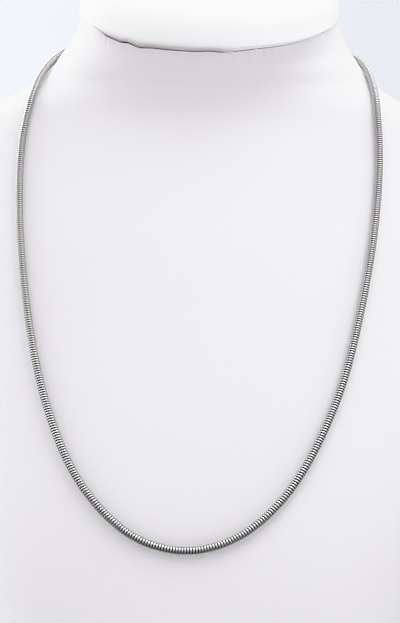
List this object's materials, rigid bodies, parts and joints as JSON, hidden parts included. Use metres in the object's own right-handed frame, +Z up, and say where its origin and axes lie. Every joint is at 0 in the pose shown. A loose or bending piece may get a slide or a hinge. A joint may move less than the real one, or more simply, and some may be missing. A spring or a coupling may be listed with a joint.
{
  "type": "snake chain necklace on a neck bust",
  "caption": "Closely ribbed round metal snake chain necklace with a plain barrel clasp, hung round a white leatherette neck bust that stands on its own flat base.",
  "frame": {"origin": "under the middle of the bust, at the middle of the bounding box's underside", "axes": "+Z up, the chest faces -Y, +X to the right as seen from the front"},
  "size_m": [0.212, 0.1374, 0.2849],
  "materials": {
    "polished_steel": "bright polished stainless steel",
    "leatherette": "matt white leatherette with a very fine grain"
  },
  "bodies": {
    "root": {"snake_chain": "polished_steel", "clasp": "polished_steel", "bust_body": "leatherette", "neck_cap": "leatherette"}
  },
  "joints": []
}
